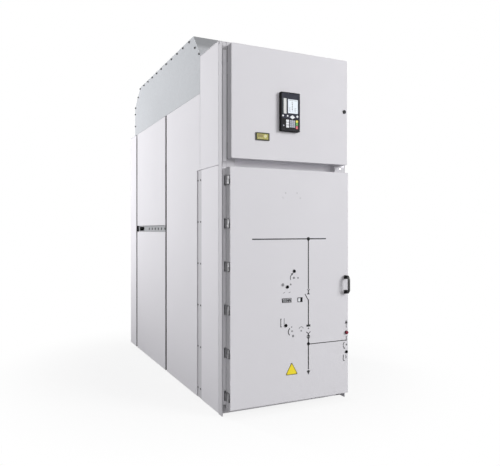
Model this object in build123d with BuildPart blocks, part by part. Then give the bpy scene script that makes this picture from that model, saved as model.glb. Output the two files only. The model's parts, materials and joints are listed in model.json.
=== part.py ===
from build123d import *
import os

# Air-insulated switchgear panel: folded sheet steel housing with two hinged doors.
# Millimetres. X runs to the right, Y to the rear, Z up. The origin lies on the floor
# in the middle of the footprint, and the doors face -Y.

# Overall sizes
panel_width = 1000.0
panel_depth = 2460.0
body_height = 2510.0
side_height = 2240.0
deck_height = 1675.0
hood_rise = 178.0

# Sheet metal
sheet = 2.0
post_sheet = 2.5
base_sheet = 4.0
bend = 3.0
fold = 18.0
fit = 0.3
floor_gap = 3.0

# Depths counted from the face of the front frame
post_depth = 58.0
strip_start = 368.0
strip_width = 85.0
strip_recess = 5.0
lv_depth = 394.0
middle_groove_start = 1188.0
rear_groove_start = 2186.0
groove_width = 35.0
groove_depth = 14.0

# Front frame: a narrow wing along each side, a channel for the hinges, and a raised door stop
wing_thickness = 8.0
wing_radius = 3.9
wing_below_roof = 23.0
channel_end = 32.0
stile_width = 95.0
stop_width = 18.0
post_lip = 25.0
top_rail_height = 62.0
cross_rail_below_deck = 43.0
cross_rail_above_deck = 57.0
rail_depth = 40.0
sill_height = 75.0
slot_height = 12.0
slot_bottom = 15.0
slot_web = 16.0
slot_count = 5

# Base
base_height = 40.0
base_flange = 40.0
floor_sheet = 3.0
anchor_radius = 7.0
anchor_setback = 230.0

# Perforated rail between the rear side panels
hole_rail_bottom = 1218.0
hole_rail_height = 59.0
hole_radius = 10.0
hole_count = 6
hole_pitch = 100.0
hole_offset = 54.0
window_length = 176.0
window_height = 40.0
window_end = 50.0

# Rear wall
rear_split = 1120.0

# Hood over the busbars
hood_flange = 30.0
hood_front_lip = 15.0
hood_front_lap = 40.0
hood_front_run = 137.0
hood_top_length = 1534.0
hood_rear_run = 208.0
hood_rear_drop = 173.0

# Doors
door_gap = 8.0
door_depth = 62.0
door_lip = 15.0
door_corner = 8.0
door_margin = 27.0
door_bottom = 55.0
door_below_deck = 23.0
lv_door_margin = 35.0
lv_door_above_deck = 33.0
lv_door_below_roof = 46.0
lv_door_gap = 12.0
stiffener_width = 60.0
stiffener_depth = 24.0
stiffener_flange = 15.0
stiffener_taper = 6.0
stiffener_count = 4
stiffener_inset = 12.0

# Barrel hinges of the lower door
hinge_height = 54.0
hinge_radius = 5.0
pin_radius = 2.8
pin_clearance = 0.2
knuckle_gap = 0.6
hinge_from_door = 3.0
hinge_setback = 24.0
hinge_plate = 3.0
hinge_foot = 16.0
hinge_swing = 12.0
hinge_notch_margin = 5.0
hinge_first = 136.0
hinge_pitch = 286.0
hinge_count = 6

# Hidden hinges of the upper door
lv_hinge_inset = 10.0
lv_hinge_setback = 48.0
lv_hinge_radius = 6.0
lv_hinge_height = 50.0
lv_hinge_reach = 27.0
lv_hinge_plate = 4.0
lv_hinge_bend = 5.0
lv_hinge_foot = 12.0
lv_hinge_from_edge = 150.0

# Fittings on the doors
handle_from_right = 53.0
handle_bottom = 790.0
handle_length = 106.0
handle_reach = 43.0
handle_width = 18.0
handle_thickness = 13.0
handle_pad = 26.0
handle_pad_thickness = 5.0
handle_pad_margin = 4.0
handle_bow_radius = 16.0
handle_edge = 4.0
relay_from_left = 470.0
relay_above_deck = 367.0
relay_width = 150.0
relay_height = 266.0
relay_front = 28.0
relay_rim = 5.0
relay_recess = 2.0
relay_case_depth = 170.0
indicator_from_left = 265.0
indicator_above_deck = 188.0
indicator_width = 103.0
indicator_height = 52.0
indicator_front = 7.0
indicator_rim = 2.5
indicator_recess = 1.5
indicator_case_depth = 70.0
lock_from_right = 61.5
lock_above_deck = 416.0
lock_radius = 14.0
lock_front = 4.0
lock_rim = 2.5
lock_length = 30.0
socket_radius = 11.0
socket_bore = 6.5
socket_front = 5.0
socket_length = 40.0
socket_depth = 35.0
socket_wall = 2.0
button_radius = 11.0
button_chamfer = 1.5
button_from_right = 44.0
button_height = 494.0
button_front = 14.0
socket_from_left = [515.0, 460.0, 447.0]
socket_heights = [952.0, 846.0, 582.0]
earth_socket_from_right = 43.0
earth_socket_height = 353.0

# Derived places
half_width = panel_width / 2
front = -panel_depth / 2
rear = panel_depth / 2
post_rear = front + post_depth
frame_face = post_rear - 2 * post_sheet - fit
lip_rear = frame_face + post_lip
strip_front = front + strip_start
strip_rear = strip_front + strip_width
lv_rear = front + lv_depth
middle_groove = front + middle_groove_start
rear_groove = front + rear_groove_start
panel_top = side_height - sheet
inner_half = half_width - fold - fit
base_rear = rear - fold - fit
roof_underside = body_height - sheet
opening_half = half_width - stile_width
stile_left = channel_end - half_width
stile_bottom = sill_height - stop_width
wing_top = body_height - wing_below_roof
door_back = front - door_gap
door_face = door_back - door_depth
lv_door_back = front - lv_door_gap
lv_door_depth = lv_door_back - door_face
door_width = panel_width - 2 * door_margin
door_height = deck_height - door_below_deck - door_bottom
lv_door_width = panel_width - 2 * lv_door_margin
lv_door_bottom = deck_height + lv_door_above_deck
lv_door_height = body_height - lv_door_below_roof - lv_door_bottom
hood_height = body_height + hood_front_lip + hood_rise

os.makedirs("parts", exist_ok=True)


def write(builder, name):
    """Label a finished piece and write it to its own file."""
    builder.part.label = name
    export_step(builder.part, f"parts/{name}.step")


def write_pair(left, name):
    """Write a left piece and its mirror image on the right."""
    write(left, f"left_{name}")
    with BuildPart() as right:
        mirror(left.part, about=Plane.YZ)
    write(right, f"right_{name}")


def from_left(distance):
    """X of a place counted from the left edge of the panel."""
    return distance - half_width


def side_tray(outline):
    """Left cover sheet with every edge folded inwards, from the (Y, Z) corners of its face."""
    with BuildPart() as tray:
        with BuildSketch(Plane.YZ.offset(-half_width)):
            with BuildLine():
                Polyline(*outline, close=True)
            make_face()
        extrude(amount=fold)
        fillet(tray.faces().sort_by(Axis.X)[0].edges(), bend)
        offset(amount=-sheet, openings=tray.faces().sort_by(Axis.X)[-1])
    return tray


def rectangle_outline(y_low, y_high, z_low, z_high):
    """Corners of an upright rectangle as (Y, Z) pairs."""
    return [(y_low, z_low), (y_high, z_low), (y_high, z_high), (y_low, z_high)]


# Base rails with floor anchor holes
with BuildPart() as base_rail:
    with BuildSketch(Plane.XZ.offset(-post_rear - fit)):
        with BuildLine():
            Polyline(
                (-inner_half + base_flange, 0),
                (-inner_half, 0),
                (-inner_half, base_height),
                (-inner_half + base_flange, base_height),
            )
            offset(amount=base_sheet, side=Side.RIGHT)
        make_face()
    extrude(amount=-(base_rear - post_rear - fit))
    with Locations(
        (-inner_half + base_flange / 2, front + anchor_setback),
        (-inner_half + base_flange / 2, rear - anchor_setback),
    ):
        Hole(anchor_radius)
write_pair(base_rail, "base_rail")

# Cross bars that join the base rails at the front and the rear
crossbar_half = inner_half - base_flange - fit
for crossbar_name, crossbar_front in (
    ("front_crossbar", lip_rear + fit),
    ("rear_crossbar", base_rear - base_flange),
):
    with BuildPart() as crossbar:
        with BuildSketch(Plane.YZ.offset(-crossbar_half)):
            with BuildLine():
                Polyline(
                    (crossbar_front + base_flange, 0),
                    (crossbar_front, 0),
                    (crossbar_front, base_height),
                    (crossbar_front + base_flange, base_height),
                )
                offset(amount=base_sheet, side=Side.RIGHT)
            make_face()
        extrude(amount=2 * crossbar_half)
    write(crossbar, crossbar_name)


def deck_plate(bottom, thickness, front_edge, rear_edge):
    """Level plate between the side sheets that reaches forward between the front posts."""
    with BuildPart() as deck:
        with BuildSketch(Plane.XY.offset(bottom)):
            with Locations((0, lip_rear + fit)):
                Rectangle(2 * inner_half, rear_edge - lip_rear - fit, align=(Align.CENTER, Align.MIN))
            with Locations((0, front_edge)):
                Rectangle(2 * (opening_half - fit), lip_rear + fit - front_edge, align=(Align.CENTER, Align.MIN))
        extrude(amount=thickness)
    return deck


floor_plate = deck_plate(base_height, floor_sheet, frame_face + sheet + fit, middle_groove - fit)
write(floor_plate, "floor_plate")

partition_front = middle_groove - fit - sheet
deck_bottom = deck_height - sheet / 2
compartment_deck = deck_plate(deck_bottom, sheet, frame_face + post_sheet + fit, partition_front - fit)
write(compartment_deck, "compartment_deck")

with BuildPart() as rear_floor:
    with BuildSketch(Plane.XY.offset(base_height)):
        with Locations((0, middle_groove)):
            Rectangle(2 * inner_half, base_rear - middle_groove, align=(Align.CENTER, Align.MIN))
    extrude(amount=floor_sheet)
write(rear_floor, "rear_floor_plate")

# Partition behind the switching device compartment, up to the hood
with BuildPart() as partition:
    with BuildSketch(Plane.XZ.offset(-partition_front)):
        with Locations((0, base_height + floor_sheet)):
            Rectangle(
                2 * inner_half,
                panel_top - base_height - floor_sheet,
                align=(Align.CENTER, Align.MIN),
            )
    extrude(amount=-sheet)
write(partition, "partition")

# Front corner posts, folded so that the wing and the door stop reach forward of the frame's face
with BuildPart() as front_post:
    with BuildSketch():
        with BuildLine():
            FilletPolyline(
                (-half_width + fold, post_rear),
                (-half_width, post_rear),
                (-half_width, front),
                (-half_width + wing_thickness, front),
                (-half_width + wing_thickness, frame_face),
                (stile_left, frame_face),
                (stile_left, front),
                (-opening_half, front),
                (-opening_half, lip_rear),
                radius=[bend, wing_radius, wing_radius, bend, bend, bend, bend],
            )
            offset(amount=post_sheet, side=Side.LEFT)
        make_face()
    extrude(amount=roof_underside)
    for cut_left, cut_bottom, cut_top in (
        (stile_left - 2 * bend, 0, stile_bottom),
        (-half_width, wing_top, roof_underside),
    ):
        with BuildSketch(Plane.XY.offset(cut_bottom)):
            with Locations((cut_left, front)):
                Rectangle(-opening_half - cut_left, frame_face - front, align=(Align.MIN, Align.MIN))
        extrude(amount=cut_top - cut_bottom, mode=Mode.SUBTRACT)
        with BuildSketch(Plane.XY.offset(cut_bottom)):
            with Locations((stile_left - 2 * bend, frame_face)):
                Rectangle(2 * bend - opening_half - stile_left, post_sheet, align=(Align.MIN, Align.MIN))
        extrude(amount=cut_top - cut_bottom)
write_pair(front_post, "front_post")


def front_rail(corners, thickness, side):
    """Sheet rail between the front posts, folded along (Y, Z) corners."""
    with BuildPart() as rail:
        with BuildSketch(Plane.YZ.offset(-opening_half)):
            with BuildLine():
                FilletPolyline(*corners, radius=bend)
                offset(amount=thickness, side=side)
            make_face()
        extrude(amount=2 * opening_half)
    return rail


rail_rear = frame_face + rail_depth
top_rail_bottom = roof_underside - top_rail_height
top_rail = front_rail(
    [
        (rail_rear, top_rail_bottom),
        (front, top_rail_bottom),
        (front, top_rail_bottom + stop_width),
        (frame_face, top_rail_bottom + stop_width),
        (frame_face, roof_underside),
        (rail_rear, roof_underside),
    ],
    post_sheet,
    Side.LEFT,
)
write(top_rail, "top_rail")

cross_rail_bottom = deck_height - cross_rail_below_deck
cross_rail_top = deck_height + cross_rail_above_deck
cross_rail = front_rail(
    [
        (rail_rear, cross_rail_bottom),
        (front, cross_rail_bottom),
        (front, cross_rail_bottom + stop_width),
        (frame_face, cross_rail_bottom + stop_width),
        (frame_face, cross_rail_top - stop_width),
        (front, cross_rail_top - stop_width),
        (front, cross_rail_top),
        (rail_rear, cross_rail_top),
    ],
    post_sheet,
    Side.RIGHT,
)
write(cross_rail, "cross_rail")

# Sill under the lower door, with a row of long air slots
slot_pitch = 2 * opening_half / slot_count
sill_fold = front_rail(
    [
        (frame_face, 0),
        (frame_face, stile_bottom),
        (front, stile_bottom),
        (front, sill_height),
        (rail_rear, sill_height),
        (rail_rear, sill_height - fold),
    ],
    sheet,
    Side.LEFT,
)
with BuildPart() as sill:
    add(sill_fold.part)
    with BuildSketch(Plane.XZ.offset(-frame_face)):
        with Locations((0, slot_bottom + slot_height / 2)):
            with GridLocations(slot_pitch, slot_pitch, slot_count, 1):
                Rectangle(slot_pitch - slot_web, slot_height)
    extrude(amount=-sheet, mode=Mode.SUBTRACT)
write(sill, "sill")

# Cover sheets on the two sides, from the front to the rear
lv_side = side_tray(
    rectangle_outline(post_rear + fit, lv_rear, deck_height + sheet / 2, roof_underside)
)
write_pair(lv_side, "instrument_side_sheet")

front_sheet = side_tray(
    rectangle_outline(post_rear + fit, strip_front - fit, floor_gap, deck_height - sheet / 2)
)
write_pair(front_sheet, "front_side_sheet")

with BuildPart() as joint_strip:
    with BuildSketch(Plane.XY.offset(floor_gap)):
        with BuildLine():
            FilletPolyline(
                (-half_width + fold, strip_front),
                (-half_width + strip_recess, strip_front),
                (-half_width + strip_recess, strip_rear),
                (-half_width + fold, strip_rear),
                radius=bend,
            )
            offset(amount=sheet, side=Side.RIGHT)
        make_face()
    extrude(amount=deck_height - sheet / 2 - floor_gap)
write_pair(joint_strip, "joint_strip")

main_panel = side_tray(
    [
        (strip_rear + fit, floor_gap),
        (middle_groove - fit, floor_gap),
        (middle_groove - fit, panel_top),
        (lv_rear + fit, panel_top),
        (lv_rear + fit, deck_height + sheet / 2),
        (strip_rear + fit, deck_height + sheet / 2),
    ]
)
write_pair(main_panel, "main_side_panel")

hole_rail_top = hole_rail_bottom + hole_rail_height
rear_panel_front = middle_groove + groove_width + fit
rear_panel_rear = rear_groove - fit
upper_rear_panel = side_tray(
    rectangle_outline(rear_panel_front, rear_panel_rear, hole_rail_top, panel_top)
)
write_pair(upper_rear_panel, "upper_rear_side_panel")

lower_rear_panel = side_tray(
    rectangle_outline(rear_panel_front, rear_panel_rear, floor_gap, hole_rail_bottom)
)
write_pair(lower_rear_panel, "lower_rear_side_panel")

end_panel = side_tray(
    rectangle_outline(rear_groove + groove_width + fit, rear, floor_gap, panel_top)
)
write_pair(end_panel, "end_side_panel")


def groove_post(groove_front, name):
    """Channel at a seam, its web set back from the side so that a dark groove shows."""
    with BuildPart() as post:
        with BuildSketch(Plane.XY.offset(floor_gap)):
            with BuildLine():
                FilletPolyline(
                    (-half_width + sheet, groove_front),
                    (-half_width + groove_depth, groove_front),
                    (-half_width + groove_depth, groove_front + groove_width),
                    (-half_width + sheet, groove_front + groove_width),
                    radius=bend,
                )
                offset(amount=sheet, side=Side.LEFT)
            make_face()
        extrude(amount=panel_top - floor_gap)
    write_pair(post, name)


groove_post(middle_groove, "middle_seam_post")
groove_post(rear_groove, "rear_seam_post")

# Perforated rail between the upper and the lower rear side panels
rail_length = rear_panel_rear - rear_panel_front
with BuildPart() as hole_rail:
    with BuildSketch(Plane.XZ.offset(-rear_panel_front)):
        with BuildLine():
            FilletPolyline(
                (-half_width + groove_depth + fold, hole_rail_bottom + fit),
                (-half_width + groove_depth, hole_rail_bottom + fit),
                (-half_width + groove_depth, hole_rail_top - fit),
                (-half_width + groove_depth + fold, hole_rail_top - fit),
                radius=bend,
            )
            offset(amount=sheet, side=Side.RIGHT)
        make_face()
    extrude(amount=-rail_length)
    rail_middle = hole_rail_bottom + hole_rail_height / 2
    first_hole = rear_panel_front + hole_offset
    with BuildSketch(Plane.YZ.offset(-half_width + groove_depth)):
        with Locations((first_hole + hole_pitch * (hole_count - 1) / 2, rail_middle)):
            with GridLocations(hole_pitch, hole_pitch, hole_count, 1):
                Circle(hole_radius)
        with Locations((rear_panel_rear - window_end - window_length / 2, rail_middle)):
            Rectangle(window_length, window_height)
    extrude(amount=sheet, mode=Mode.SUBTRACT)
write_pair(hole_rail, "hole_rail")

# Rear wall of two folded sheets between the end panels
for wall_name, wall_bottom, wall_top in (
    ("lower_rear_wall", floor_gap, rear_split - fit),
    ("upper_rear_wall", rear_split + fit, panel_top),
):
    with BuildPart() as rear_wall:
        with BuildSketch(Plane.XZ.offset(-rear)):
            with Locations((0, wall_bottom)):
                Rectangle(2 * inner_half, wall_top - wall_bottom, align=(Align.CENTER, Align.MIN))
        extrude(amount=fold)
        fillet(rear_wall.faces().sort_by(Axis.Y)[-1].edges(), bend)
        offset(amount=-sheet, openings=rear_wall.faces().sort_by(Axis.Y)[0])
    write(rear_wall, wall_name)

# Roof sheets and the wall behind the instrument compartment
hood_start = lv_rear + fit
hood_top_start = hood_start + hood_front_run
hood_top_end = hood_top_start + hood_top_length
hood_end = hood_top_end + hood_rear_run
with BuildPart() as rear_roof:
    with BuildSketch(Plane.XY.offset(panel_top)):
        with Locations((0, hood_end + fit)):
            Rectangle(panel_width, rear - hood_end - fit, align=(Align.CENTER, Align.MIN))
    extrude(amount=sheet)
write(rear_roof, "rear_roof")

with BuildPart() as instrument_roof:
    with BuildSketch(Plane.XY.offset(roof_underside)):
        with Locations((0, frame_face)):
            Rectangle(panel_width, lv_rear - frame_face, align=(Align.CENTER, Align.MIN))
    extrude(amount=sheet)
    fillet(instrument_roof.edges().filter_by(Axis.Z).sort_by(Axis.Y)[:2], bend)
write(instrument_roof, "instrument_roof")

with BuildPart() as instrument_back:
    with BuildSketch(Plane.XZ.offset(-(lv_rear - sheet - fit))):
        with Locations((0, deck_bottom + 2 * sheet)):
            Rectangle(
                2 * (half_width - bend - fit),
                roof_underside - deck_bottom - 3 * sheet,
                align=(Align.CENTER, Align.MIN),
            )
    extrude(amount=sheet)
write(instrument_back, "instrument_back")

# Hood: flat side plates, and a canopy of bent sheets between them
hood_bottom = panel_top + fit
canopy_path = [
    Vector(hood_start, body_height - hood_front_lap),
    Vector(hood_start, body_height + hood_front_lip),
    Vector(hood_top_start, hood_height),
    Vector(hood_top_end, hood_height),
    Vector(hood_end, hood_height - hood_rear_drop),
    Vector(hood_end, hood_bottom + sheet + fit),
]
with BuildPart() as hood_side:
    with BuildSketch(Plane.YZ.offset(-half_width)):
        with BuildLine():
            Polyline(
                (hood_start, hood_bottom),
                *canopy_path[1:-1],
                (hood_end, hood_bottom),
                close=True,
            )
        make_face()
    extrude(amount=sheet)
    with BuildSketch(Plane.YZ.offset(-half_width + sheet)):
        with Locations((hood_start, hood_bottom)):
            Rectangle(hood_end - hood_start, sheet, align=(Align.MIN, Align.MIN))
    extrude(amount=fold - sheet)
write_pair(hood_side, "hood_side")


def inset_path(depth):
    """The canopy's outline moved inwards, mitred at its bends and square at its ends."""
    inwards = []
    for start, end in zip(canopy_path, canopy_path[1:]):
        along = (end - start).normalized()
        inwards.append(Vector(along.Y, -along.X))
    points = [canopy_path[0] + inwards[0] * depth]
    for point, before, after in zip(canopy_path[1:-1], inwards, inwards[1:]):
        points.append(point + (before + after) * (depth / (1 + before.dot(after))))
    points.append(canopy_path[-1] + inwards[-1] * depth)
    return points


hood_half = half_width - sheet - fit
flange_path = inset_path(hood_flange)
skin_path = inset_path(sheet)
canopy_runs = {
    "hood_front": slice(None, 3),
    "hood_top": slice(2, 4),
    "hood_rear_slope": slice(3, 5),
    "hood_rear": slice(4, None),
}
for canopy_name, run in canopy_runs.items():
    with BuildPart() as canopy:
        with BuildSketch(Plane.YZ.offset(-hood_half)):
            with BuildLine():
                Polyline(*canopy_path[run], *reversed(flange_path[run]), close=True)
            make_face()
        extrude(amount=2 * hood_half)
        with BuildSketch(Plane.YZ.offset(-hood_half + sheet)):
            with BuildLine():
                Polyline(*skin_path[run], *reversed(flange_path[run]), close=True)
            make_face()
        extrude(amount=2 * (hood_half - sheet), mode=Mode.SUBTRACT)
    write(canopy, canopy_name)

# Lower door: folded pan with holes for the operating shafts and windows for the hinges
door_center_height = door_bottom + door_height / 2
hinge_axis_x = -door_width / 2 - hinge_from_door
hinge_axis_y = door_face + hinge_setback
hinge_heights = [hinge_first + hinge_pitch * number for number in range(hinge_count)]
button_x = half_width - button_from_right
socket_places = [(from_left(place), height) for place, height in zip(socket_from_left, socket_heights)]
socket_places.append((half_width - earth_socket_from_right, earth_socket_height))
with BuildPart() as door:
    with BuildSketch(Plane.XZ.offset(-door_back)):
        with Locations((0, door_center_height)):
            Rectangle(door_width, door_height)
    extrude(amount=door_depth)
    fillet(door.faces().sort_by(Axis.Y)[0].edges(), bend)
    offset(amount=-sheet, openings=door.faces().sort_by(Axis.Y)[-1])
    with BuildSketch(Plane.XZ.offset(-door_back)):
        with Locations((0, door_center_height)):
            Rectangle(door_width, door_height)
            Rectangle(door_width - 2 * door_lip, door_height - 2 * door_lip, mode=Mode.SUBTRACT)
    extrude(amount=sheet)
    with BuildSketch(Plane.XZ.offset(-door_face)):
        with Locations(*socket_places):
            Circle(socket_radius - socket_wall)
        with Locations((button_x, button_height)):
            Circle(button_radius - socket_wall)
    extrude(amount=-sheet, mode=Mode.SUBTRACT)
    for height in hinge_heights:
        with BuildSketch(Plane.YZ.offset(-door_width / 2)):
            with Locations((door_face + hinge_notch_margin, height)):
                Rectangle(
                    door_depth - hinge_notch_margin - sheet,
                    hinge_height + 2 * hinge_notch_margin,
                    align=(Align.MIN, Align.CENTER),
                )
        extrude(amount=sheet, mode=Mode.SUBTRACT)
write(door, "lower_door")


def stiffener(left_edge, width, height, face_inside):
    """Hat profile that lies on the inside of a door's face, with its two flanges outwards."""
    with BuildPart() as hat:
        with BuildSketch(Plane.YZ.offset(left_edge)):
            with BuildLine():
                Polyline(
                    (face_inside, height - stiffener_width / 2 - stiffener_flange),
                    (face_inside, height - stiffener_width / 2),
                    (face_inside + stiffener_depth, height - stiffener_width / 2 + stiffener_taper),
                    (face_inside + stiffener_depth, height + stiffener_width / 2 - stiffener_taper),
                    (face_inside, height + stiffener_width / 2),
                    (face_inside, height + stiffener_width / 2 + stiffener_flange),
                )
                offset(amount=sheet, side=Side.RIGHT)
            make_face()
        extrude(amount=width)
    return hat.part


with BuildPart() as door_stiffeners:
    for number in range(stiffener_count):
        stiffener_height = door_bottom + door_height * (number + 0.5) / stiffener_count
        add(
            stiffener(
                -door_width / 2 + stiffener_inset,
                door_width - 2 * stiffener_inset,
                stiffener_height,
                door_face + sheet,
            )
        )
write(door_stiffeners, "lower_door_stiffeners")

# Upper door over the instrument compartment
lv_door_center_height = lv_door_bottom + lv_door_height / 2
relay_height_on_door = deck_height + relay_above_deck
indicator_height_on_door = deck_height + indicator_above_deck
lock_height_on_door = deck_height + lock_above_deck
lock_x = half_width - lock_from_right
with BuildPart() as lv_door:
    with BuildSketch(Plane.XZ.offset(-lv_door_back)):
        with Locations((0, lv_door_center_height)):
            Rectangle(lv_door_width, lv_door_height)
    extrude(amount=lv_door_depth)
    fillet(lv_door.edges().filter_by(Axis.Y), door_corner)
    chamfer(lv_door.faces().sort_by(Axis.Y)[0].edges(), sheet)
    offset(amount=-sheet, openings=lv_door.faces().sort_by(Axis.Y)[-1])
    with BuildSketch(Plane.XZ.offset(-door_face)):
        with Locations((from_left(relay_from_left), relay_height_on_door)):
            Rectangle(relay_width - 2 * relay_rim, relay_height - 2 * relay_rim)
        with Locations((from_left(indicator_from_left), indicator_height_on_door)):
            Rectangle(indicator_width - 2 * indicator_rim, indicator_height - 2 * indicator_rim)
        with Locations((lock_x, lock_height_on_door)):
            Circle(lock_radius - lock_rim)
    extrude(amount=-sheet, mode=Mode.SUBTRACT)
write(lv_door, "instrument_door")


# Barrel hinges on the left of the lower door: frame halves with their pins, door halves with bores
hinge_web_x = hinge_axis_x - hinge_radius + hinge_plate / 2
with BuildPart() as frame_hinges:
    for height in hinge_heights:
        bottom = height - hinge_height / 2
        with BuildSketch(Plane.XY.offset(bottom)):
            with Locations((hinge_web_x, frame_face)):
                Rectangle(hinge_foot, hinge_plate, align=(Align.CENTER, Align.MAX))
                Rectangle(
                    hinge_plate,
                    frame_face - hinge_axis_y - hinge_swing,
                    align=(Align.CENTER, Align.MAX),
                )
        extrude(amount=hinge_height)
        with BuildSketch(Plane.XY.offset(bottom)):
            with Locations((hinge_web_x, frame_face)):
                Rectangle(hinge_plate, frame_face - hinge_axis_y, align=(Align.CENTER, Align.MAX))
            with Locations((hinge_axis_x, hinge_axis_y)):
                Circle(hinge_radius)
        extrude(amount=(hinge_height - knuckle_gap) / 2)
        with BuildSketch(Plane.XY.offset(bottom)):
            with Locations((hinge_axis_x, hinge_axis_y)):
                Circle(pin_radius)
        extrude(amount=hinge_height)
write(frame_hinges, "door_hinge_frame_halves")

with BuildPart() as door_hinges:
    for height in hinge_heights:
        with BuildSketch(Plane.XY.offset(height + knuckle_gap / 2)):
            with Locations((hinge_axis_x, hinge_axis_y)):
                Circle(hinge_radius)
                Rectangle(
                    hinge_from_door + bend + hinge_plate,
                    hinge_plate,
                    align=(Align.MIN, Align.CENTER),
                )
            with Locations((-door_width / 2 + bend, door_face + sheet)):
                Rectangle(hinge_plate, hinge_setback - sheet, align=(Align.MIN, Align.MIN))
            with Locations((hinge_axis_x, hinge_axis_y)):
                Circle(pin_radius + pin_clearance, mode=Mode.SUBTRACT)
        extrude(amount=(hinge_height - knuckle_gap) / 2)
write(door_hinges, "door_hinge_door_halves")

# Hidden hinges of the upper door: hooked arms on the left post, knuckles inside the door's edge
lv_hinge_x = -lv_door_width / 2 + lv_hinge_inset
lv_hinge_y = door_face + lv_hinge_setback
lv_hinge_heights = [
    lv_door_bottom + lv_hinge_from_edge,
    lv_door_bottom + lv_door_height - lv_hinge_from_edge,
]
with BuildPart() as instrument_frame_hinges:
    for height in lv_hinge_heights:
        bottom = height - lv_hinge_height / 2
        arm_end = lv_hinge_x + lv_hinge_reach
        with BuildSketch(Plane.XY.offset(bottom)):
            with BuildLine():
                FilletPolyline(
                    (lv_hinge_x, lv_hinge_y - lv_hinge_plate),
                    (arm_end, lv_hinge_y - lv_hinge_plate),
                    (arm_end, front - fit),
                    radius=lv_hinge_bend,
                )
                offset(amount=lv_hinge_plate, side=Side.LEFT)
            make_face()
            with Locations((arm_end, front)):
                Rectangle(lv_hinge_foot, lv_hinge_plate / 2, align=(Align.MAX, Align.MAX))
            with Locations((lv_hinge_x, lv_hinge_y)):
                Circle(lv_hinge_radius)
        extrude(amount=(lv_hinge_height - knuckle_gap) / 2)
        with BuildSketch(Plane.XY.offset(bottom)):
            with Locations((lv_hinge_x, lv_hinge_y)):
                Circle(pin_radius)
        extrude(amount=lv_hinge_height)
write(instrument_frame_hinges, "instrument_hinge_frame_halves")

with BuildPart() as instrument_door_hinges:
    for height in lv_hinge_heights:
        with BuildSketch(Plane.XY.offset(height + knuckle_gap / 2)):
            with Locations((lv_hinge_x, lv_hinge_y)):
                Circle(lv_hinge_radius)
                Rectangle(lv_hinge_inset - sheet, lv_hinge_plate, align=(Align.MAX, Align.CENTER))
                Circle(pin_radius + pin_clearance, mode=Mode.SUBTRACT)
        extrude(amount=(lv_hinge_height - knuckle_gap) / 2)
write(instrument_door_hinges, "instrument_hinge_door_halves")

# Bow handle of the lower door
handle_x = half_width - handle_from_right
handle_top = handle_bottom + handle_length
with BuildPart() as handle:
    with BuildSketch(Plane.XZ.offset(-door_face)):
        with Locations((handle_x, handle_bottom), (handle_x, handle_top)):
            Rectangle(handle_width + handle_pad_margin, handle_pad)
    extrude(amount=handle_pad_thickness)
    with BuildLine(Plane.YZ.offset(handle_x)) as bow:
        FilletPolyline(
            (door_face, handle_bottom),
            (door_face - handle_reach, handle_bottom),
            (door_face - handle_reach, handle_top),
            (door_face, handle_top),
            radius=handle_bow_radius,
        )
    with BuildSketch(Plane.XZ.offset(-door_face)) as handle_section:
        with Locations((handle_x, handle_bottom)):
            Rectangle(handle_width, handle_thickness)
            chamfer(handle_section.vertices(), handle_edge)
    sweep(path=bow.line)
write(handle, "door_handle")

# Protection relay: rim on the door face and case behind it
relay_x = from_left(relay_from_left)
with BuildPart() as relay:
    with BuildSketch(Plane.XZ.offset(-door_face)):
        with Locations((relay_x, relay_height_on_door)):
            RectangleRounded(relay_width, relay_height, relay_rim)
    extrude(amount=relay_front)
    chamfer(relay.faces().sort_by(Axis.Y)[0].edges(), relay_rim / 2)
    with BuildSketch(Plane.XZ.offset(-door_face + relay_front)):
        with Locations((relay_x, relay_height_on_door)):
            Rectangle(relay_width - 2 * relay_rim, relay_height - 2 * relay_rim)
    extrude(amount=-relay_recess, mode=Mode.SUBTRACT)
    with BuildSketch(Plane.XZ.offset(-door_face)):
        with Locations((relay_x, relay_height_on_door)):
            Rectangle(
                relay_width - 2 * relay_rim - 2 * fit,
                relay_height - 2 * relay_rim - 2 * fit,
            )
    extrude(amount=-relay_case_depth)
write(relay, "protection_relay")

# Voltage indicator in its small frame
indicator_x = from_left(indicator_from_left)
with BuildPart() as indicator:
    with BuildSketch(Plane.XZ.offset(-door_face)):
        with Locations((indicator_x, indicator_height_on_door)):
            RectangleRounded(indicator_width, indicator_height, indicator_rim)
    extrude(amount=indicator_front)
    with BuildSketch(Plane.XZ.offset(-door_face + indicator_front)):
        with Locations((indicator_x, indicator_height_on_door)):
            Rectangle(indicator_width - 4 * indicator_rim, indicator_height - 4 * indicator_rim)
    extrude(amount=-indicator_recess, mode=Mode.SUBTRACT)
    with BuildSketch(Plane.XZ.offset(-door_face)):
        with Locations((indicator_x, indicator_height_on_door)):
            Rectangle(
                indicator_width - 2 * indicator_rim - 2 * fit,
                indicator_height - 2 * indicator_rim - 2 * fit,
            )
    extrude(amount=-indicator_case_depth)
write(indicator, "voltage_indicator")

# Key lock of the upper door
with BuildPart() as door_lock:
    with BuildSketch(Plane.XZ.offset(-door_face)):
        with Locations((lock_x, lock_height_on_door)):
            Circle(lock_radius)
    extrude(amount=lock_front)
    chamfer(door_lock.faces().sort_by(Axis.Y)[0].edges(), lock_rim / 2)
    with BuildSketch(Plane.XZ.offset(-door_face)):
        with Locations((lock_x, lock_height_on_door)):
            RegularPolygon(lock_radius - lock_rim - fit, 8)
    extrude(amount=-lock_length)
write(door_lock, "instrument_door_lock")

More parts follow.
